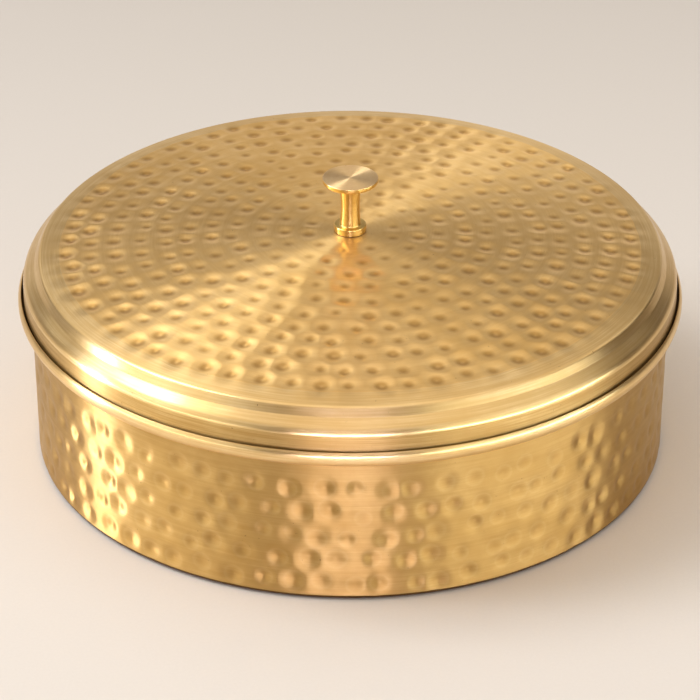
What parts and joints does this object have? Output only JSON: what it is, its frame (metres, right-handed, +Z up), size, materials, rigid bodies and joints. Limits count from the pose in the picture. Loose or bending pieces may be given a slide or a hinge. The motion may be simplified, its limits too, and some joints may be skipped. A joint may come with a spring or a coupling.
{
  "type": "spice box",
  "caption": "Round hammered brass spice box: a shallow pan with a rolled lip, a domed lift-off lid with a turned knob, loose inner cups and a small spoon.",
  "frame": {"origin": "centre of the pan's flat floor, on the surface it stands on", "axes": "+Z up through the knob, +X to the right and -Y towards the viewer of the picture; round about Z"},
  "size_m": [0.2297, 0.2296, 0.0994],
  "materials": {
    "hammered_brass": "hammered, circular brushed and lacquered",
    "turned_brass": "turned and polished",
    "cup_brass": "spun, satin",
    "spoon_brass": "pressed and polished"
  },
  "bodies": {
    "box": {"pan": "hammered_brass"},
    "lid": {"lid_shell": "hammered_brass", "knob": "turned_brass", "knob_washer": "turned_brass", "knob_screw": "turned_brass"},
    "cup_centre_body": {"cup_centre": "cup_brass"},
    "cup_1_body": {"cup_1": "cup_brass"},
    "cup_2_body": {"cup_2": "cup_brass"},
    "cup_3_body": {"cup_3": "cup_brass"},
    "cup_4_body": {"cup_4": "cup_brass"},
    "cup_5_body": {"cup_5": "cup_brass"},
    "cup_6_body": {"cup_6": "cup_brass"},
    "spoon_body": {"spoon": "spoon_brass"}
  },
  "joints": [
    {"name": "lid_lift", "type": "slide", "parent": "box", "child": "lid", "axis": [0, 0, 1], "range_m": [0, 0.15]},
    {"name": "cup_centre_lift", "type": "slide", "parent": "box", "child": "cup_centre_body", "axis": [0, 0, 1], "range_m": [0, 0.025]},
    {"name": "cup_1_lift", "type": "slide", "parent": "box", "child": "cup_1_body", "axis": [0, 0, 1], "range_m": [0, 0.025]},
    {"name": "cup_2_lift", "type": "slide", "parent": "box", "child": "cup_2_body", "axis": [0, 0, 1], "range_m": [0, 0.025]},
    {"name": "cup_3_lift", "type": "slide", "parent": "box", "child": "cup_3_body", "axis": [0, 0, 1], "range_m": [0, 0.025]},
    {"name": "cup_4_lift", "type": "slide", "parent": "box", "child": "cup_4_body", "axis": [0, 0, 1], "range_m": [0, 0.025]},
    {"name": "cup_5_lift", "type": "slide", "parent": "box", "child": "cup_5_body", "axis": [0, 0, 1], "range_m": [0, 0.025]},
    {"name": "cup_6_lift", "type": "slide", "parent": "box", "child": "cup_6_body", "axis": [0, 0, 1], "range_m": [0, 0.025]},
    {"name": "spoon_lift", "type": "slide", "parent": "cup_centre_body", "child": "spoon_body", "axis": [0, 0, 1], "range_m": [0, 0.025]}
  ]
}
